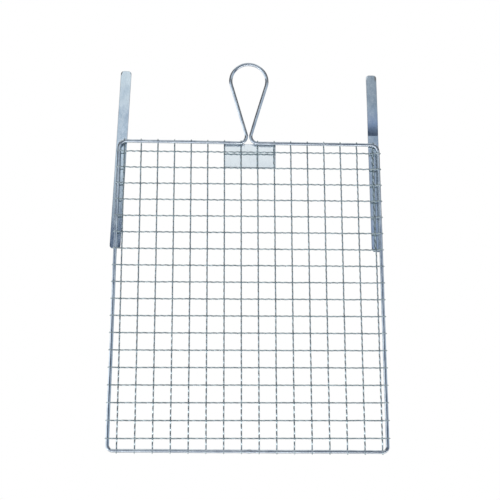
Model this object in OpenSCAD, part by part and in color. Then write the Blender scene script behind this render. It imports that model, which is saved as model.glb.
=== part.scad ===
// Paint roller grid: a bent wire frame with a hanging loop, a mesh of wires hooked round the frame,
// a plate behind the neck of the loop, and two sheet straps that fold over a bucket's rim.
// Millimetres. +Z runs up the grid, +X to the right seen from the front, and the front faces -Y.
// The origin is where a hook bears: the inside of the top of the hanging loop.
// The rectangle of the frame lies a little to the right of it, at frame_x.

/* [Frame] */
// Diameter of the wire that makes the frame and the loop
frame_wire_d = 3.4; // [3:0.1:3.6]
// Width of the frame's top between the centres of its side wires
frame_w = 253.6; // [251:0.2:262]
// Height of the frame between the centres of its top and bottom wires
frame_h = 297.5; // [295:0.5:310]
// Centre-line radius of the two top corners
top_corner_r = 6.5; // [5:0.5:7]
// Centre-line radius of the two bottom corners
bottom_corner_r = 5; // [4:0.5:7]

/* [Hanging loop] */
// Centre-line radius of the round top of the loop
loop_r = 18; // [18:0.5:20]
// Length of each straight leg of the loop
leg_len = 53; // [50:0.5:54]
// Centre-line radius of the bends that turn the legs into the top wire
neck_r = 7; // [6:0.5:7]
// Distance of the loop's middle to the right of the frame's middle
loop_right = -0.7; // [-1:0.1:1]

/* [Mesh] */
// Diameter of the mesh wires
mesh_wire_d = 1.4; // [1.2:0.1:1.5]
// Distance between neighbouring mesh wires
pitch = 16.25; // [15:0.25:16.25]
// Number of wires that run from top to bottom
columns = 16; // [8:1:16]
// Number of wires that run from side to side
rows = 18; // [8:1:18]
// Turn of the mesh in the frame, in degrees
mesh_turn = 0.35; // [0:0.05:0.4]
// Distance of the mesh's middle to the right of the frame's middle
mesh_right = 1; // [0:0.5:1]
// Distance of the mesh's middle above the frame's middle
mesh_up = 1; // [0:0.5:2]

/* [Neck plate] */
// Width of the plate
plate_w = 50; // [40:1:60]
// Height of the plate, down from the middle of the top wire
plate_h = 24; // [20:1:30]
// Distance of the plate's middle to the right of the loop's middle
plate_right = 1.9; // [0:0.1:2]

/* [Straps] */
// Thickness of the straps' and the plate's sheet
sheet_t = 0.8; // [0.6:0.1:1]
// Width of a strap
strap_w = 10.4; // [9:0.1:12]
// Length of strap below the middle of the top wire
leg_below = 107.5; // [80:0.5:120]
// Length of strap above the middle of the top wire
tab_above = 74.5; // [50:0.1:80]
// Height of the fold line above the middle of the top wire
fold_above = 10.8; // [5:0.1:12]
// Radius of the corners at the strap's ends
strap_corner_r = 2; // [1:0.5:3]
// Distance of each strap's middle inside its side wire, at the top wire, left then right
strap_inset = [2, 3.8]; // [2:0.1:8]
// Lean of each strap towards the middle of the grid, in degrees, left then right
strap_lean = [1.7, 0.6]; // [0:0.1:2]

/* [Hidden] */
$fn = 48;
frame_r = frame_wire_d / 2;
mesh_r = mesh_wire_d / 2;
// The side wires spread slightly towards the bottom
side_sin = 0.006;
side_lean = asin(side_sin);
side_cos = cos(side_lean);
// The loop's legs lean on a 7:24:25 slope, and the wires enter their hooks on a 3:4:5 slope
leg_sin = 0.28;
leg_cos = 0.96;
hook_cos = 0.6;
hook_sin = 0.8;
// The frame's middle, measured from the loop's
frame_x = -loop_right;
// Heights of the loop's centre and of the top and bottom wires
loop_z = -(loop_r - frame_r);
top_z = loop_z - neck_r * (1 + leg_sin) - leg_len * leg_cos - loop_r * leg_sin;
bottom_z = top_z - frame_h;
mid_z = top_z - frame_h / 2;
// Distance from the loop's middle to the centre of a neck bend
neck_x = leg_cos * (loop_r + neck_r) - leg_len * leg_sin;
// Distance from the frame's middle to the centre of a top corner, and length of a side wire
corner_x = frame_w / 2 - top_corner_r;
side_len = (frame_h - (top_corner_r + bottom_corner_r) + (top_corner_r - bottom_corner_r) * side_sin) / side_cos;
// Distance from the frame's middle to the centre of a bottom corner
bottom_corner_x = corner_x + (top_corner_r - bottom_corner_r) * side_cos + side_len * side_sin;
// The wires lie in two layers, the columns behind the rows
wire_gap = 0.02;
layer_y = mesh_r + wire_gap;
// A hook runs round the frame wire, and a small lead-in bend joins it to the straight wire
hook_gap = 0.1;
hook_r = frame_r + mesh_r + hook_gap;
lead_r = (hook_cos * hook_r - layer_y) / (1 - hook_cos);
lead_rise = hook_sin * (hook_r + lead_r);
// Front face of the plate and the straps, just behind the hooks
sheet_gap = 0.05;
sheet_y = hook_r + mesh_r + sheet_gap;
// Gap across the fold line
fold_gap = 0.3;
// The butt weld that closes the frame wire
weld_x = 1;
weld_r = frame_r + 0.4;
weld_gap = 1;
// Half the width of the wedges that cut arcs from rings
reach = 100;
wedge_t = 12;

// Distance between the side wires' centres at a height, to the nearest 0.01 mm
function width_at(z) = round(200 * (frame_w / 2 + side_sin * (top_z - top_corner_r - z))) / 100;

function two_digits(n) = n < 10 ? str("0", n) : str(n);
function column_name(i) = str("column_wire_", two_digits(i));
function row_name(i) = str("row_wire_", two_digits(i));

// A ring of wire round the Z axis, cut to the part of it inside an outline
module arc(ring_r, wire_r, outline) {
    intersection() {
        rotate_extrude()
            translate([ring_r, 0]) circle(r = wire_r);
        linear_extrude(height = wedge_t, center = true)
            polygon(reach * outline);
    }
}

// The round top of the loop, down to where its legs leave it
module loop_top() {
    translate([0, 0, loop_z])
        rotate([90, 0, 0])
            arc(loop_r, frame_r, [
                [0, 0], [leg_cos, -leg_sin], [leg_cos, 1], [-leg_cos, 1], [-leg_cos, -leg_sin]
            ]);
}

// The right-hand leg and its neck bend
module loop_leg() {
    translate([leg_cos * loop_r, 0, loop_z - leg_sin * loop_r])
        rotate([0, 180 + asin(leg_sin), 0])
            cylinder(h = leg_len, r = frame_r);
    translate([neck_x, 0, top_z + neck_r])
        rotate([90, 0, 0])
            arc(neck_r, frame_r, [[0, 0], [-leg_cos, leg_sin], [-leg_cos, -1], [0, -1]]);
}

// The right-hand half of the frame, from a neck bend that ends at from_x to a weld at end_x
module frame_half(from_x, end_x) {
    translate([from_x, 0, top_z])
        rotate([0, 90, 0])
            cylinder(h = corner_x - from_x, r = frame_r);
    translate([corner_x, 0, top_z - top_corner_r]) {
        rotate([90, 0, 0])
            arc(top_corner_r, frame_r, [[0, 0], [side_cos, side_sin], [1, 1], [0, 1]]);
        rotate([0, -side_lean, 0]) {
            translate([top_corner_r, 0, -side_len])
                cylinder(h = side_len, r = frame_r);
            translate([top_corner_r - bottom_corner_r, 0, -side_len])
                rotate([0, side_lean, 0]) {
                    rotate([90, 0, 0])
                        arc(bottom_corner_r, frame_r, [[0, 0], [0, -1], [1, -1], [side_cos, side_sin]]);
                    translate([0, 0, -bottom_corner_r])
                        rotate([0, -90, 0])
                            cylinder(h = bottom_corner_x - end_x, r = frame_r);
                }
        }
    }
}

// One length of wire, bent into the frame and the loop and butt-welded below
module frame_wire() {
    color([0.66, 0.7, 0.74]) {
        loop_top();
        for (side = [0, 1]) mirror([side, 0, 0])
            loop_leg();
        translate([frame_x, 0, 0]) {
            frame_half(neck_x - frame_x, weld_x + weld_gap / 2);
            mirror([1, 0, 0])
                frame_half(neck_x + frame_x, -weld_x + weld_gap / 2);
            translate([weld_x, 0, bottom_z])
                sphere(r = weld_r);
        }
    }
}

// The end of a mesh wire at the origin, which comes up the Z axis and hooks over a frame wire
module wire_hook() {
    rotate([90, 0, 90]) {
        translate([layer_y + lead_r, -lead_rise, 0])
            arc(lead_r, mesh_r, [[0, 0], [-1, 0], [-hook_cos, hook_sin]]);
        arc(hook_r, mesh_r, [[0, 0], [hook_cos, -hook_sin], [1, -hook_sin], [1, 1], [-1, 1], [-1, 0]]);
    }
}

// A mesh wire along Z, hooked at both ends round frame wires that are span apart
module mesh_wire(span) {
    straight = span - 2 * lead_rise;
    translate([0, layer_y, -straight / 2])
        cylinder(h = straight, r = mesh_r);
    for (end = [0, 1]) mirror([0, 0, end])
        translate([0, 0, span / 2])
            wire_hook();
}

// A wire of the rear layer, from the top wire to the bottom wire
module column_wire(i) {
    x = frame_x + mesh_right + (i - (columns + 1) / 2) * pitch;
    color([0.58, 0.59, 0.63])
        translate([x, 0, mid_z])
            rotate([0, -mesh_turn, 0])
                mesh_wire(frame_h);
}

// A wire of the front layer, from side to side, with the first row at the top
module row_wire(i) {
    z = mid_z + mesh_up - (i - (rows + 1) / 2) * pitch;
    color([0.6, 0.61, 0.64])
        translate([frame_x, 0, z])
            rotate([0, 90 - mesh_turn, 0])
                rotate([0, 0, 180])
                    mesh_wire(width_at(z));
}

// A sheet outline with two rounded corners at its far end, which is up or down the strap
module strip(from_z, to_z) {
    way = sign(to_z - from_z);
    inner_z = to_z - way * strap_corner_r;
    rotate([90, 0, 0])
        translate([0, 0, -sheet_y - sheet_t])
            linear_extrude(height = sheet_t) {
                translate([-strap_w / 2, min(from_z, inner_z)])
                    square([strap_w, abs(inner_z - from_z)]);
                translate([-strap_w / 2 + strap_corner_r, min(from_z, to_z)])
                    square([strap_w - 2 * strap_corner_r, abs(to_z - from_z)]);
                for (side = [-1, 1])
                    translate([side * (strap_w / 2 - strap_corner_r), inner_z])
                        circle(r = strap_corner_r);
            }
}

// Puts a strap in place: side 0 is the left one, side 1 the right one
module at_strap(side) {
    way = side == 0 ? 1 : -1;
    translate([frame_x - way * (frame_w / 2 - strap_inset[side]), 0, top_z])
        rotate([0, way * strap_lean[side], 0])
            children();
}

// The part of a strap that stays flat against the back of the mesh
module strap_leg(side) {
    color([0.5, 0.56, 0.63])
        at_strap(side)
            strip(fold_above - fold_gap / 2, -leg_below);
}

// The part of a strap that folds back over the bucket's rim
module strap_tab(side) {
    color([0.72, 0.78, 0.85])
        at_strap(side)
            strip(fold_above + fold_gap / 2, tab_above);
}

// The plain sheet behind the neck of the loop
module neck_plate() {
    color([0.8, 0.83, 0.86])
        translate([plate_right - plate_w / 2, sheet_y, top_z - plate_h])
            cube([plate_w, sheet_t, plate_h]);
}

frame_wire();
neck_plate();
strap_leg(0);  // left_strap_leg
strap_tab(0);  // left_strap_tab
strap_leg(1);  // right_strap_leg
strap_tab(1);  // right_strap_tab
for (i = [1:columns])
    column_wire(i);
for (i = [1:rows])
    row_wire(i);
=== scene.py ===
"""The looks of a paint roller grid: woven crimped wires in a bent wire frame, a plate and two straps.

Metres, in the row frame: +Z up the grid, +X to the right seen from the front, the front faces -Y,
and the origin is the inside of the top of the hanging loop.
"""

import math

import bmesh
import bpy
from mathutils import Matrix, Vector, noise


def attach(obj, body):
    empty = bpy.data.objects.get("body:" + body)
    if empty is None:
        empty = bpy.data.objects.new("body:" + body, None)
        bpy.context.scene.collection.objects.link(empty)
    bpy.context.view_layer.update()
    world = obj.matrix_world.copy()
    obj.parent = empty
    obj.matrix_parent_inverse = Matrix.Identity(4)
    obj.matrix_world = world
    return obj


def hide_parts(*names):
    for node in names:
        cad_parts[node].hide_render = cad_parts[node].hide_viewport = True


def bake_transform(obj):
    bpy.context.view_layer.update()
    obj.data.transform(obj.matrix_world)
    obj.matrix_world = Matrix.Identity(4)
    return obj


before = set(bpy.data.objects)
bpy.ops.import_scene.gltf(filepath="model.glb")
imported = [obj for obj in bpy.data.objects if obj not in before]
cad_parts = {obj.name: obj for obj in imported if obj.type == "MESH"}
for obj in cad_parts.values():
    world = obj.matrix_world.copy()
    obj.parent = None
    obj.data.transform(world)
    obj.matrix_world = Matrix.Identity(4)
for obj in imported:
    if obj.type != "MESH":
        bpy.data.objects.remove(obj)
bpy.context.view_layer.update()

MM = 0.001

# The frame wire and the hanging loop
FRAME_R = 1.7 * MM
FRAME_X = 0.7 * MM
FRAME_W = 253.6 * MM
FRAME_H = 297.5 * MM
TOP_CORNER_R = 6.5 * MM
BOTTOM_CORNER_R = 5 * MM
SIDE_LEAN = math.asin(0.006)
LOOP_R = 18 * MM
LEG_LEN = 53 * MM
LEG_LEAN = math.asin(0.28)
NECK_R = 7 * MM
LOOP_Z = FRAME_R - LOOP_R
NECK_X = math.cos(LEG_LEAN) * (LOOP_R + NECK_R) - LEG_LEN * math.sin(LEG_LEAN)
TOP_Z = LOOP_Z - (LOOP_R + NECK_R) * math.sin(LEG_LEAN) - NECK_R - LEG_LEN * math.cos(LEG_LEAN)
BOTTOM_Z = TOP_Z - FRAME_H
MID_Z = TOP_Z - FRAME_H / 2
CORNER_X = FRAME_W / 2 - TOP_CORNER_R
SIDE_LEN = (
    FRAME_H - TOP_CORNER_R - BOTTOM_CORNER_R + (TOP_CORNER_R - BOTTOM_CORNER_R) * math.sin(SIDE_LEAN)
) / math.cos(SIDE_LEAN)
BOTTOM_CORNER_X = (
    CORNER_X
    + (TOP_CORNER_R - BOTTOM_CORNER_R) * math.cos(SIDE_LEAN)
    + SIDE_LEN * math.sin(SIDE_LEAN)
)
WELD_X = FRAME_X + 1 * MM
BEAD_R = 2.1 * MM
BEAD_LEN = 2.2 * MM
BEND_STEP = 4  # Degrees of a bend from one point of the frame's line to the next

# The mesh
MESH_R = 0.7 * MM
PITCH = 16.25 * MM
COLUMNS = 16
ROWS = 18
MESH_TURN = math.radians(0.35)
MESH_RIGHT = 1 * MM
MESH_UP = 1 * MM
LAYER_Y = MESH_R + 0.02 * MM
HOOK_R = FRAME_R + MESH_R + 0.1 * MM
TIGHT_HOOK_R = FRAME_R + 0.52 * MM
CLENCH = 0.28  # How much thinner a wire is where it is bent round the frame
WAVES_PER_CELL = 2.5
CREST_POINT = 0.9  # How pointed the crests of a crimped wire are, from 0, a sine, to 1, a zigzag
SETTLE_FROM = 3.2 * MM  # How far before its lead-in bend a wire begins to settle, and has settled
SETTLE_TO = 0.2 * MM
WANDER = 0.5 * MM

# The sheet pieces
SHEET_T = 0.8 * MM
SHEET_Y = HOOK_R + MESH_R + 0.05 * MM
RIM = 0.35 * MM
SOFT_EDGE = 0.16 * MM
CORNER_STEPS = 6
CUT_STEP = 4 * MM
PLATE_W = 50 * MM
PLATE_H = 24 * MM
PLATE_X = 1.9 * MM
PLATE_CORNER_R = 0.5 * MM
STRAP_W = 10.4 * MM
STRAP_BELOW = 107.5 * MM
STRAP_ABOVE = 74.5 * MM
STRAP_CORNER_R = 3 * MM
BOW_LENGTH = 30 * MM
FOLD_ABOVE = 10.8 * MM
FINE_HALF = 4.25 * MM  # Half the length with fine cuts
FINE_STEP = 0.25 * MM
STRAPS = {
    "left": {"inset": 2 * MM, "lean": math.radians(1.7), "way": 1, "bow": 0.1 * MM},
    "right": {"inset": 3.8 * MM, "lean": math.radians(0.6), "way": -1, "bow": 1.5 * MM},
}

# The camera and the floor
CAMERA_AT = (-0.0399, -0.97529, -0.42715)
CAMERA_YAW, CAMERA_PITCH, CAMERA_ROLL = 0.0427, 0.2391, 0.0031
CAMERA_LENS, CAMERA_SENSOR = 75.6, 36
FLOOR_SIDE, FLOOR_FRONT, FLOOR_BACK, FLOOR_Z = 2.5, -1.2, 3.2, -2.8


# ---- Node trees as expressions ----


class Value:
    """An output socket. Arithmetic on it adds Math nodes to its tree."""

    def __init__(self, net, node, output=0):
        self.net = net
        self.node = node
        self.socket = node.outputs[output] if len(node.outputs) else None

    def out(self, output):
        return Value(self.net, self.node, output)

    def maths(self, operation, *values):
        return self.net.add("ShaderNodeMath", {"operation": operation}, dict(enumerate(values)))

    def __add__(self, other):
        return self.maths("ADD", self, other)

    def __sub__(self, other):
        return self.maths("SUBTRACT", self, other)

    def __mul__(self, other):
        return self.maths("MULTIPLY", self, other)

    def __truediv__(self, other):
        return self.maths("DIVIDE", self, other)

    def __radd__(self, other):
        return self.maths("ADD", other, self)

    def __rsub__(self, other):
        return self.maths("SUBTRACT", other, self)

    def __rmul__(self, other):
        return self.maths("MULTIPLY", other, self)

    def __rtruediv__(self, other):
        return self.maths("DIVIDE", other, self)

    def __neg__(self):
        return self.maths("MULTIPLY", self, -1)

    def __abs__(self):
        return self.maths("ABSOLUTE", self)

    def min(self, other):
        return self.maths("MINIMUM", self, other)

    def sin(self):
        return self.maths("SINE", self)

    def cos(self):
        return self.maths("COSINE", self)

    def step(self, edge):
        """1 above the edge and 0 below it."""
        return self.maths("GREATER_THAN", self, edge)

    def between(self, low, high):
        """0 up to low, 1 from high on, and smooth in between."""
        inputs = {"Value": self, "From Min": low, "From Max": high}
        return self.net.add("ShaderNodeMapRange", {"interpolation_type": "SMOOTHSTEP"}, inputs)


class Net:
    """A node tree that grows by add()."""

    def __init__(self, tree):
        self.tree = tree

    def add(self, kind, settings=None, inputs=None, output=0):
        """A node of a type, with its settings first and then the values or links of its inputs."""
        node = self.tree.nodes.new(kind)
        for name, value in (settings or {}).items():
            setattr(node, name, value)
        for key, value in (inputs or {}).items():
            if isinstance(value, Value):
                self.tree.links.new(value.socket, node.inputs[key])
            else:
                node.inputs[key].default_value = value
        return Value(self, node, output)

    def vector(self, operation, *values):
        return self.add("ShaderNodeVectorMath", {"operation": operation}, dict(enumerate(values)))

    def combine(self, x, y, z):
        return self.add("ShaderNodeCombineXYZ", {}, {0: x, 1: y, 2: z})

    def noise(self, vector, scale, detail=2, roughness=0.5, distortion=0, output=0):
        inputs = {
            "Vector": vector,
            "Scale": scale,
            "Detail": detail,
            "Roughness": roughness,
            "Distortion": distortion,
        }
        return self.add("ShaderNodeTexNoise", {}, inputs, output)

    def mix(self, factor, a, b):
        """Two colours mixed by a factor."""
        return self.add("ShaderNodeMix", {"data_type": "RGBA"}, {0: factor, 6: a, 7: b}, 2)

    def blend(self, factor, a, b):
        """Two numbers mixed by a factor."""
        return self.add("ShaderNodeMix", {"data_type": "FLOAT"}, {0: factor, 2: a, 3: b})


def geometry_tree(name, sizes):
    """A Geometry Nodes tree with named number inputs and a material. Returns its net and its inputs."""
    tree = bpy.data.node_groups.new(name, "GeometryNodeTree")
    tree.interface.new_socket("Geometry", in_out="INPUT", socket_type="NodeSocketGeometry")
    for size in sizes:
        tree.interface.new_socket(size, in_out="INPUT", socket_type="NodeSocketFloat")
    tree.interface.new_socket("Material", in_out="INPUT", socket_type="NodeSocketMaterial")
    tree.interface.new_socket("Geometry", in_out="OUTPUT", socket_type="NodeSocketGeometry")
    net = Net(tree)
    inputs = net.add("NodeGroupInput")
    return net, {item: inputs.out(item) for item in ["Geometry", *sizes, "Material"]}


def close_tree(net, geometry, material):
    """Ends a tree in Realize Instances, Set Material and its output."""
    whole = net.add("GeometryNodeRealizeInstances", {}, {0: geometry})
    painted = net.add("GeometryNodeSetMaterial", {}, {"Geometry": whole, "Material": material})
    net.add("NodeGroupOutput", {}, {0: painted})
    return net.tree


def run_tree(tree, name, values, material, start=None, place=None):
    """The plain mesh object that a tree makes from a start mesh, put in place in its vertices."""
    seed = bpy.data.objects.new("seed", start or bpy.data.meshes.new("seed"))
    bpy.context.scene.collection.objects.link(seed)
    modifier = seed.modifiers.new("tree", "NODES")
    modifier.node_group = tree
    for item in tree.interface.items_tree:
        if item.in_out == "INPUT" and item.name in values:
            modifier[item.identifier] = values[item.name]
        if item.in_out == "INPUT" and item.name == "Material":
            modifier[item.identifier] = material
    graph = bpy.context.evaluated_depsgraph_get()
    graph.update()
    mesh = bpy.data.meshes.new_from_object(seed.evaluated_get(graph), depsgraph=graph)
    bpy.data.objects.remove(seed)
    mesh.name = name
    if place is not None:
        mesh.transform(place)
    piece = bpy.data.objects.new(name, mesh)
    bpy.context.scene.collection.objects.link(piece)
    return piece


# ---- Geometry Nodes trees ----


def wire_skin(net, line, wire_r, sides, along, swell):
    """A round wire round a line, with the coordinates of the wire before it was bent in "drawn"."""
    ring = net.add("GeometryNodeCurvePrimitiveCircle", {}, {"Resolution": sides, "Radius": wire_r})
    ring_at = net.add("GeometryNodeInputPosition")
    ring = net.add("GeometryNodeStoreNamedAttribute", {"data_type": "FLOAT_VECTOR"}, {
        "Geometry": ring, "Name": "across", "Value": ring_at,
    })
    line = net.add("GeometryNodeStoreNamedAttribute", {"data_type": "FLOAT"}, {
        "Geometry": line, "Name": "along", "Value": along,
    })
    skin = net.add("GeometryNodeCurveToMesh", {}, {0: line, 1: ring, "Scale": swell, "Fill Caps": True})
    across = net.add("GeometryNodeInputNamedAttribute", {"data_type": "FLOAT_VECTOR"}, {"Name": "across"})
    length = net.add("GeometryNodeInputNamedAttribute", {"data_type": "FLOAT"}, {"Name": "along"})
    drawn = net.vector("ADD", across, net.combine(0, 0, length))
    skin = net.add("GeometryNodeStoreNamedAttribute", {"data_type": "FLOAT_VECTOR"}, {
        "Geometry": skin, "Name": "drawn", "Value": drawn,
    })
    # The faces of the wire have four corners and are smooth, and its two end caps stay flat
    corners = net.add("GeometryNodeInputMeshFaceNeighbors").out("Vertex Count")
    round_face = net.add("FunctionNodeCompare", {"data_type": "INT", "operation": "LESS_EQUAL"}, {
        2: corners, 3: 4,
    })
    return net.add("GeometryNodeSetShadeSmooth", {}, {
        "Geometry": skin, "Selection": True, "Shade Smooth": round_face,
    })


def crimped_wire_tree():
    """A crimped wire along Z with a hook at each end round a frame wire."""
    net, size = geometry_tree("crimped_wire", [
        "Span", "Wire Radius", "Hook Radius", "Layer", "Wave Length", "Wave Height",
        "Crest At", "Wander", "Seed", "Spacing", "Sides",
    ])
    lead_cos, lead_sin = 0.6, 0.8
    lead_angle = math.acos(lead_cos)
    lead_r = (lead_cos * size["Hook Radius"] - size["Layer"]) / (1 - lead_cos)
    straight = 0.5 * size["Span"] - lead_sin * (size["Hook Radius"] + lead_r)
    lead = lead_r * lead_angle
    hook = size["Hook Radius"] * (lead_angle + math.pi)
    half = straight + lead + hook
    count = net.add("FunctionNodeFloatToInt", {}, {0: 2 * half / size["Spacing"]})
    line = net.add("GeometryNodeMeshLine", {}, {"Count": count})
    line = net.add("GeometryNodeMeshToCurve", {}, {0: line})
    index = net.add("GeometryNodeInputIndex")
    along = half * (2 * index / (count - 1) - 1)
    reach = abs(along)
    side = along.maths("SIGN", along)
    # The crimped length, with crests of slightly uneven height, settles into its layer before the hooks
    settle = reach.between(straight - SETTLE_FROM, straight - SETTLE_TO)
    uneven = net.noise(net.combine(along * 9, size["Seed"], 3.7), scale=1, detail=1) - 0.5
    height = size["Wave Height"] * (1 + 0.16 * uneven)
    crest = ((along - size["Crest At"]) * (2 * math.pi) / size["Wave Length"]).cos()
    wave = height * crest.maths("ARCSINE", CREST_POINT * crest) / math.asin(CREST_POINT)
    straight_y = net.blend(settle, wave, size["Layer"])
    # The lead-in bend
    turn = (reach - straight) / lead_r
    lead_y = size["Layer"] + lead_r * (1 - turn.cos())
    lead_z = straight + lead_r * turn.sin()
    # The hook
    turn = (reach - straight - lead) / size["Hook Radius"] - lead_angle
    hook_y = size["Hook Radius"] * turn.cos()
    hook_z = 0.5 * size["Span"] + size["Hook Radius"] * turn.sin()
    in_lead = reach.step(straight)
    in_hook = reach.step(straight + lead)
    y = net.blend(in_hook, net.blend(in_lead, straight_y, lead_y), hook_y)
    z = net.blend(in_hook, net.blend(in_lead, reach, lead_z), hook_z)
    drift = net.noise(net.combine(along * 60, size["Seed"], 0.5), scale=1, detail=2) - 0.5
    line = net.add("GeometryNodeSetPosition", {}, {
        "Geometry": line, "Position": net.combine(size["Wander"] * drift, y, z * side),
    })
    squeeze = 1 - CLENCH * reach.between(straight, straight + 2 * lead)
    skin = wire_skin(net, line, size["Wire Radius"], size["Sides"], along + size["Seed"], squeeze)
    return close_tree(net, skin, size["Material"])


def frame_wire_tree():
    """A round wire along a closed line of edges, with a weld bead where the line starts."""
    net, size = geometry_tree("frame_wire", [
        "Wire Radius", "Bead Radius", "Bead Length", "Wander", "Spacing", "Sides",
    ])
    line = net.add("GeometryNodeMeshToCurve", {}, {0: size["Geometry"]})
    line = net.add("GeometryNodeResampleCurve", {"mode": "LENGTH"}, {
        "Curve": line, "Length": size["Spacing"],
    })
    along = net.add("GeometryNodeSplineParameter").out("Length")
    length = net.add("GeometryNodeSplineLength").out("Length")
    from_weld = along.min(length - along)
    # A hand-bent wire strays a little, but not at the weld, and less to the front and back
    at = net.add("GeometryNodeInputPosition")
    drift = net.noise(at, scale=22, detail=1, output="Color")
    drift = net.vector("SUBTRACT", drift, (0.5, 0.5, 0.5))
    calm = size["Wander"] * from_weld.between(0, 20 * MM)
    drift = net.vector("MULTIPLY", drift, net.combine(calm, 0.4 * calm, calm))
    line = net.add("GeometryNodeSetPosition", {}, {"Geometry": line, "Offset": drift})
    # The bead is lumpy and full over its first quarter
    lumps = net.noise(at, scale=900, detail=1) - 0.5
    bead = (1 - from_weld.between(0.25 * size["Bead Length"], size["Bead Length"])) * (1 + 0.5 * lumps)
    swell = 1 + bead * (size["Bead Radius"] / size["Wire Radius"] - 1)
    skin = wire_skin(net, line, size["Wire Radius"], size["Sides"], along, swell)
    return close_tree(net, skin, size["Material"])


# ---- Materials ----


def new_material(name):
    """An empty node material, and the net to build it with."""
    material = bpy.data.materials.new(name)
    material.use_nodes = True
    material.node_tree.nodes.clear()
    return material, Net(material.node_tree)


def finish_metal(net, colour, roughness, bump, bump_height):
    """Adds a metal shader with its bump height in metres."""
    normal = net.add("ShaderNodeBump", {}, {"Height": bump, "Distance": bump_height})
    shader = net.add("ShaderNodeBsdfPrincipled", {}, {
        "Metallic": 1.0, "Normal": normal, "Base Color": colour, "Roughness": roughness,
    })
    net.add("ShaderNodeOutputMaterial", {}, {"Surface": shader})


def wire_material(name, dark, light, rough, bump_height):
    """Drawn wire with a bright zinc coat: die lines along it, cloudy patches and dull spots."""
    dull_spot = (0.3, 0.32, 0.36, 1)
    material, net = new_material(name)
    drawn = net.add("ShaderNodeAttribute", {"attribute_name": "drawn"}, output="Vector")
    place = net.add("ShaderNodeTexCoord").out("Object")
    lines = net.noise(net.vector("MULTIPLY", drawn, (1, 1, 0.02)), scale=5200)
    clouds = net.noise(place, scale=130, detail=3, roughness=0.6)
    grain = net.noise(drawn, scale=2600, roughness=0.6)
    spots = net.noise(place, scale=620).between(0.62, 0.75)
    tone = (0.55 * clouds + 0.3 * lines + 0.15 * grain).between(0.36, 0.66)
    colour = net.mix(tone, dark, light)
    colour = net.mix(0.35 * spots, colour, dull_spot)
    roughness = rough + 0.12 * (clouds - 0.5) + 0.1 * lines + 0.12 * spots
    bump = lines + 0.6 * grain + 0.4 * spots
    finish_metal(net, colour, roughness, bump, bump_height)
    return material


def sheet_material(name, dark, light, rough, mottle, bump_height):
    """Rolled sheet with a zinc coat: cloudy patches, rolling lines, scuffs and dull sheared edges."""
    scuff, sheared = (0.36, 0.4, 0.47, 1), (0.25, 0.29, 0.36, 1)
    material, net = new_material(name)
    sheet = net.add("ShaderNodeAttribute", {"attribute_name": "sheet"}, output="Vector")
    edge = net.add("ShaderNodeAttribute", {"attribute_name": "edge"}, output="Fac")
    stretched = net.vector("MULTIPLY", sheet, (1, 1, 0.5))
    clouds = net.noise(stretched, scale=210, detail=3, roughness=0.62, distortion=0.4)
    patches = net.noise(net.vector("ADD", sheet, (0.3, 0.1, 0.2)), scale=70, distortion=0.8)
    lines = net.noise(net.vector("MULTIPLY", sheet, (1, 1, 0.025)), scale=4200)
    grain = net.noise(sheet, scale=1900, roughness=0.6)
    streaks = net.vector("MULTIPLY", sheet, (1, 1, 0.12))
    scuffs = net.noise(streaks, scale=1300, detail=3, roughness=0.6, distortion=0.6).between(0.6, 0.74)
    tone = mottle * (clouds - 0.5) + 0.8 * mottle * (patches - 0.5) + 0.25 * (lines - 0.5) + 0.5
    colour = net.mix(tone.between(0.2, 0.8), dark, light)
    colour = net.mix(0.2 * scuffs, colour, scuff)
    colour = net.mix(0.75 * edge, colour, sheared)
    roughness = rough + 0.16 * (clouds - 0.5) + 0.08 * lines + 0.14 * scuffs + 0.2 * edge
    bump = lines + 0.5 * grain + 0.5 * scuffs + 0.8 * clouds
    finish_metal(net, colour, roughness, bump, bump_height)
    return material


FRAME_FINISH = wire_material(
    "bright_zinc_frame_wire",
    dark=(0.46, 0.52, 0.59, 1),
    light=(0.72, 0.78, 0.83, 1),
    rough=0.1,
    bump_height=0.01 * MM,
)
MESH_FINISH = wire_material(
    "zinc_mesh_wire",
    dark=(0.31, 0.37, 0.39, 1),
    light=(0.57, 0.66, 0.68, 1),
    rough=0.08,
    bump_height=0.01 * MM,
)
PLATE_FINISH = sheet_material(
    "smooth_zinc_plate",
    dark=(0.74, 0.79, 0.82, 1),
    light=(0.87, 0.9, 0.91, 1),
    rough=0.06,
    mottle=0.5,
    bump_height=0.003 * MM,
)
STRAP_FINISH = sheet_material(
    "zinc_strap",
    dark=(0.58, 0.66, 0.73, 1),
    light=(0.8, 0.86, 0.9, 1),
    rough=0.1,
    mottle=0.7,
    bump_height=0.006 * MM,
)


# ---- Pieces ----


def settle_piece(piece, slot, *nodes):
    """A finished piece of the grid rides on it and stands for its CAD nodes."""
    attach(piece, "grid")
    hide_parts(*nodes)


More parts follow.
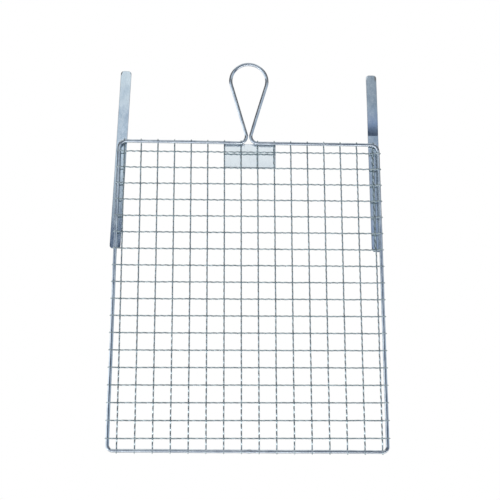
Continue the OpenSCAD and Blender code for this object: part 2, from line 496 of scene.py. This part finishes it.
def build_mesh_wires():
    """The wires between the bottom and the top come first, and then the ones between the sides."""
    tree = crimped_wire_tree()
    common = {
        "Wire Radius": MESH_R,
        "Hook Radius": TIGHT_HOOK_R,
        "Layer": LAYER_Y,
        "Wave Length": PITCH / WAVES_PER_CELL,
        "Wave Height": LAYER_Y,
        "Wander": WANDER,
        "Spacing": 0.65 * MM,
        "Sides": 12.0,
    }
    for i in range(1, COLUMNS + 1):
        from_middle = MESH_RIGHT + (i - (COLUMNS + 1) / 2) * PITCH
        first_row = MESH_UP + from_middle * math.tan(MESH_TURN) + (ROWS - 1) / 2 * PITCH
        sizes = {
            **common,
            "Span": FRAME_H,
            "Crest At": first_row + (i + 1) % 2 * common["Wave Length"] / 2,
            "Seed": float(i),
        }
        place = Matrix.Translation((FRAME_X + from_middle, 0, MID_Z)) @ Matrix.Rotation(-MESH_TURN, 4, "Y")
        node = f"column_wire_{i:02d}"
        piece = run_tree(tree, f"crimped_{node}", sizes, MESH_FINISH, place=place)
        settle_piece(piece, "mesh_wire", node)
    for j in range(1, ROWS + 1):
        z = MID_Z + MESH_UP - (j - (ROWS + 1) / 2) * PITCH
        first_column = MESH_RIGHT - (COLUMNS - 1) / 2 * PITCH - (z - MID_Z) * math.tan(MESH_TURN)
        sizes = {
            **common,
            "Span": 2 * (FRAME_W / 2 + math.sin(SIDE_LEAN) * (TOP_Z - TOP_CORNER_R - z)),
            "Crest At": first_column + (j + 1) % 2 * common["Wave Length"] / 2,
            "Seed": float(j + COLUMNS),
        }
        place = (
            Matrix.Translation((FRAME_X, 0, z))
            @ Matrix.Rotation(math.pi / 2 - MESH_TURN, 4, "Y")
            @ Matrix.Rotation(math.pi, 4, "Z")
        )
        node = f"row_wire_{j:02d}"
        piece = run_tree(tree, f"crimped_{node}", sizes, MESH_FINISH, place=place)
        settle_piece(piece, "mesh_wire", node)


def frame_line():
    """The middle line of the frame wire as a closed mesh of edges that starts at the weld."""
    lean, leg = math.degrees(SIDE_LEAN), math.degrees(LEG_LEAN)
    bends = [
        (FRAME_X + BOTTOM_CORNER_X, BOTTOM_Z + BOTTOM_CORNER_R, BOTTOM_CORNER_R, -90, lean),
        (FRAME_X + CORNER_X, TOP_Z - TOP_CORNER_R, TOP_CORNER_R, lean, 90),
        (NECK_X, TOP_Z + NECK_R, NECK_R, 270, 180 - leg),
        (0, LOOP_Z, LOOP_R, -leg, 180 + leg),
        (-NECK_X, TOP_Z + NECK_R, NECK_R, leg, -90),
        (FRAME_X - CORNER_X, TOP_Z - TOP_CORNER_R, TOP_CORNER_R, 90, 180 - lean),
        (FRAME_X - BOTTOM_CORNER_X, BOTTOM_Z + BOTTOM_CORNER_R, BOTTOM_CORNER_R, 180 - lean, 270),
    ]
    points = [(WELD_X, 0, BOTTOM_Z)]
    for x, z, radius, start, end in bends:
        steps = max(8, round(abs(end - start) / BEND_STEP))
        for step in range(steps + 1):
            angle = math.radians(start + (end - start) * step / steps)
            points.append((x + radius * math.cos(angle), 0, z + radius * math.sin(angle)))
    mesh = bpy.data.meshes.new("frame_line")
    mesh.from_pydata(points, [(i, (i + 1) % len(points)) for i in range(len(points))], [])
    return mesh


def build_frame_wire():
    sizes = {
        "Wire Radius": FRAME_R,
        "Bead Radius": BEAD_R,
        "Bead Length": BEAD_LEN,
        "Wander": WANDER,
        "Spacing": 0.8 * MM,
        "Sides": 24.0,
    }
    piece = run_tree(frame_wire_tree(), "bent_frame_wire", sizes, FRAME_FINISH, start=frame_line())
    settle_piece(piece, "frame_wire", "frame_wire")


def sheet_mesh(name, width, low, high, corner_r, cuts, shape, place, material):
    """A sheet in its own XZ plane with its front at y=0 and softened edges, bent by shape and put in place.

    "sheet" keeps its flat coordinates, and "edge" is 1 on the sheared edges.
    """
    outline = []
    for x_way, z_end, start in ((1, high, 0), (-1, high, 90), (-1, low, 180), (1, low, 270)):
        z_way = 1 if z_end == high else -1
        for step in range(CORNER_STEPS + 1):
            angle = math.radians(start + 90 * step / CORNER_STEPS)
            outline.append((
                x_way * (width / 2 - corner_r) + corner_r * math.cos(angle),
                z_end - z_way * corner_r + corner_r * math.sin(angle),
            ))
    made = bmesh.new()
    made.faces.new([made.verts.new((x, 0, z)) for x, z in outline])
    # Cuts across it and along it let it bend, and keep its edges apart from its middle
    cuts = [low + RIM, *cuts, high - RIM]
    rails = [RIM - width / 2, *(width * share for share in (-0.3, -0.1, 0.1, 0.3)), width / 2 - RIM]
    for axis, places in ((2, cuts), (0, rails)):
        for place_at in places:
            point, normal = Vector((0, 0, 0)), Vector((0, 0, 0))
            point[axis], normal[axis] = place_at, 1
            bmesh.ops.bisect_plane(
                made, geom=made.verts[:] + made.edges[:] + made.faces[:], plane_co=point, plane_no=normal
            )
    back = bmesh.ops.extrude_face_region(made, geom=made.faces[:])
    for vert in (item for item in back["geom"] if isinstance(item, bmesh.types.BMVert)):
        vert.co.y += SHEET_T
    bmesh.ops.recalc_face_normals(made, faces=made.faces)
    # The edges between a face and a side turn by a right angle, and are the only ones above 1 radian
    rims = [e for e in made.edges if len(e.link_faces) == 2 and e.calc_face_angle() > 1]
    bmesh.ops.bevel(
        made, geom=rims, offset=SOFT_EDGE, segments=3, profile=0.5, affect="EDGES", clamp_overlap=True
    )
    mesh = bpy.data.meshes.new(name)
    made.to_mesh(mesh)
    made.free()
    flat = [vert.co.copy() for vert in mesh.vertices]
    # The length of its name takes each sheet to a stretch of the pattern of its own
    shift = Vector((len(name) * 0.01, 0, 0))
    mesh.attributes.new("sheet", "FLOAT_VECTOR", "POINT")
    mesh.attributes["sheet"].data.foreach_set("vector", [c for co in flat for c in co + shift])
    inside = [min(width / 2 - abs(co.x), high - co.z, co.z - low) for co in flat]
    mesh.attributes.new("edge", "FLOAT", "POINT")
    mesh.attributes["edge"].data.foreach_set("value", [float(depth < 0.9 * RIM) for depth in inside])
    for vert, co in zip(mesh.vertices, flat):
        vert.co.y += shape(co)
    mesh.transform(place)
    for face in mesh.polygons:
        face.use_smooth = True
    mesh.materials.append(material)
    piece = bpy.data.objects.new(name, mesh)
    bpy.context.scene.collection.objects.link(piece)
    return piece


def steps_between(low, high, step):
    """Even places between low and high, about a step apart, without the two ends."""
    count = round((high - low) / step)
    return [low + (high - low) * i / count for i in range(1, count)]


def build_neck_plate():
    cuts = steps_between(-PLATE_H, 0, CUT_STEP)
    place = Matrix.Translation((PLATE_X, SHEET_Y, TOP_Z))

    def shape(at):
        return 0.05 * MM * noise.noise(Vector((at.x * 40, at.z * 40, 7)))

    piece = sheet_mesh(
        "smooth_neck_plate", PLATE_W, -PLATE_H, 0, PLATE_CORNER_R, cuts, shape, place, PLATE_FINISH
    )
    settle_piece(piece, "neck_plate", "neck_plate")


def build_straps():
    """Each strap is one sheet, which is flat below its fold and bends a little above it."""
    cuts = (
        steps_between(-STRAP_BELOW + STRAP_CORNER_R, FOLD_ABOVE - CUT_STEP, CUT_STEP)
        + steps_between(FOLD_ABOVE - FINE_HALF, FOLD_ABOVE + FINE_HALF, FINE_STEP)
        + steps_between(FOLD_ABOVE + CUT_STEP, STRAP_ABOVE - STRAP_CORNER_R, CUT_STEP)
    )
    for side, strap in STRAPS.items():
        x = FRAME_X - strap["way"] * (FRAME_W / 2 - strap["inset"])
        lean = Matrix.Rotation(strap["way"] * strap["lean"], 4, "Y")
        place = Matrix.Translation((x, SHEET_Y, TOP_Z)) @ lean

        def shape(at, bow=strap["bow"], seed=len(side)):
            above = min(1, max(0, (at.z - FOLD_ABOVE) / BOW_LENGTH))
            ripple = 0.08 * MM * noise.noise(Vector((at.x * 60, at.z * 45, seed)))
            return ripple - bow * above * (2 - above)

        piece = sheet_mesh(
            f"folding_{side}_strap",
            STRAP_W, -STRAP_BELOW, STRAP_ABOVE, STRAP_CORNER_R, cuts, shape, place, STRAP_FINISH
        )
        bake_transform(piece)
        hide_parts(f"{side}_strap_leg", f"{side}_strap_tab")


# ---- The studio ----


def build_camera():
    camera = bpy.data.objects.new("camera", bpy.data.cameras.new("camera"))
    camera.data.sensor_width = CAMERA_SENSOR
    camera.data.lens = CAMERA_LENS
    camera.data.clip_start, camera.data.clip_end = 0.01, 50
    yaw, pitch, roll = CAMERA_YAW, CAMERA_PITCH, CAMERA_ROLL
    forward = Vector((math.sin(yaw) * math.cos(pitch), math.cos(yaw) * math.cos(pitch), math.sin(pitch)))
    level = Vector((math.cos(yaw), -math.sin(yaw), 0))
    up = level.cross(forward)
    right = level * math.cos(roll) + up * math.sin(roll)
    up = up * math.cos(roll) - level * math.sin(roll)
    turn = Matrix((right, up, -forward)).transposed().to_4x4()
    camera.matrix_world = Matrix.Translation(CAMERA_AT) @ turn
    bpy.context.scene.collection.objects.link(camera)
    bpy.context.scene.camera = camera


def grey(level):
    return (level, level, level, 1)


def build_surroundings():
    """A white backdrop, and for the reflections alone a dim room with soft boxes and a bright pool of light.

    In degrees, turn goes to the right from straight in front of the grid, and rise goes up from level.
    """
    world = bpy.data.worlds.new("studio")
    bpy.context.scene.world = world
    world.use_nodes = True
    world.node_tree.nodes.clear()
    net = Net(world.node_tree)
    way = net.add("ShaderNodeTexCoord").out("Generated")
    parts = net.add("ShaderNodeSeparateXYZ", {}, {0: way})
    x, y, z = parts.out("X"), parts.out("Y"), parts.out("Z")
    turn = x.maths("ARCTAN2", x, -y) * (180 / math.pi)
    rise = z.maths("ARCSINE", z) * (180 / math.pi)

    def soft_box(turns, rises, soft):
        inside = 1
        for angle, (low, high) in ((turn, turns), (rise, rises)):
            inside = inside * angle.between(low - soft, low + soft)
            inside = inside * (1 - angle.between(high - soft, high + soft))
        return inside

    # The room is lighter at the horizon and to the lower left
    room = net.mix(turn.between(-1, 4), (0.45, 0.48, 0.55, 1), (0.12, 0.14, 0.19, 1))
    room = net.mix(rise.between(-12, -2), room, (0.5, 0.58, 0.67, 1))
    light = net.mix(rise.between(8, 19), room, (0.15, 0.17, 0.2, 1))
    # The belt in front is light only to the lower left, and turns blue at its top
    belt_side = turn.between(0, 5)
    belt = net.mix(belt_side + rise.between(-3, 1), (0.6, 0.66, 0.76, 1), (0.06, 0.08, 0.12, 1))
    belt_top = net.mix(belt_side, (0.1, 0.15, 0.26, 1), (0.36, 0.47, 0.7, 1))
    belt = net.mix(rise.between(11, 14), belt, belt_top)
    # The box to the left has a darker band between two bright ones
    banded = net.mix(rise.between(18.2, 19.2), (1.4, 1.56, 1.64, 1), (0.46, 0.53, 0.65, 1))
    banded = net.mix(rise.between(21.3, 22.6), banded, (1.02, 1.09, 1.1, 1))
    # The gap between two boxes is darkest part of the way up
    gap = net.mix(rise.between(19, 19.6), (0.36, 0.42, 0.55, 1), (0.32, 0.43, 0.55, 1))
    gap = net.mix(rise.between(20.2, 21), gap, (0.28, 0.33, 0.4, 1))
    gap = net.mix(rise.between(21, 24), gap, (0.33, 0.38, 0.42, 1))
    # Each box has its turns, its rises, the softness of its edges and its colour, and covers those before it
    boxes = [
        ((-130, -48), (-32, 13), 4, (1.3, 1.35, 1.4, 1)),
        ((-30, 30), (-14, 15.5), 1.2, belt),
        ((-50, -1.5), (17.2, 40), 1.2, banded),
        ((-1.5, 7.2), (15.8, 40), 1.2, (0.93, 0.97, 1.0, 1)),
        ((7.2, 24), (15, 40), 1.5, gap),
        ((24, 62), (10, 40), 3, (0.9, 0.95, 1.0, 1)),
        ((-90, -11), (20.5, 45), 1.5, (0.16, 0.15, 0.14, 1)),
        ((15, 90), (20.5, 45), 1.5, (0.2, 0.19, 0.18, 1)),
        ((-70, 70), (38, 58), 3, grey(0.12)),
        ((-90, 90), (58, 72), 2, grey(1.2)),
    ]
    for turns, rises, soft, colour in boxes:
        light = net.mix(soft_box(turns, rises, soft), light, colour)
    # The ceiling comes lower behind the grid
    above = (rise.between(77, 81) + abs(turn).between(85, 95) * rise.between(48, 54)).min(1)
    light = net.mix(above, light, grey(1.05))
    # The pool lies low in front and grows wider to the sides
    upper_edge = 0.8 * y - z
    lower_edge = upper_edge - 0.5 * abs(x)
    pool = upper_edge.between(0.27, 0.33) * (1 - lower_edge.between(0.48, 0.56))
    pool = pool * (1 - abs(turn).between(80, 100))
    light = net.mix(pool, light, grey(3.6))
    # The wall behind the grid
    back = abs(turn).between(140, 155) * (1 - rise.between(45, 60)) * rise.between(-40, -25)
    light = net.mix(back, light, grey(1.0))
    seen = net.add("ShaderNodeLightPath").out("Is Camera Ray")
    colour = net.mix(seen, light, grey(1.0))
    shade = net.add("ShaderNodeBackground", {}, {"Color": colour, "Strength": 1.0})
    net.add("ShaderNodeOutputWorld", {}, {"Surface": shade})


def build_floor():
    mesh = bpy.data.meshes.new("floor")
    corners = [
        (-FLOOR_SIDE, FLOOR_FRONT, FLOOR_Z),
        (FLOOR_SIDE, FLOOR_FRONT, FLOOR_Z),
        (FLOOR_SIDE, FLOOR_BACK, FLOOR_Z),
        (-FLOOR_SIDE, FLOOR_BACK, FLOOR_Z),
    ]
    mesh.from_pydata(corners, [], [(0, 1, 2, 3)])
    floor = bpy.data.objects.new("floor", mesh)
    bpy.context.scene.collection.objects.link(floor)
    material, net = new_material("pale_floor")
    place = net.add("ShaderNodeTexCoord").out("Object")
    colour = net.mix(net.noise(place, scale=3), grey(0.93), grey(0.95))
    shader = net.add("ShaderNodeBsdfPrincipled", {}, {"Base Color": colour, "Roughness": 0.9})
    net.add("ShaderNodeOutputMaterial", {}, {"Surface": shader})
    mesh.materials.append(material)


build_camera()
build_frame_wire()
build_mesh_wires()
build_neck_plate()
build_straps()
build_surroundings()
build_floor()
bpy.context.scene.view_settings.view_transform = "Standard"
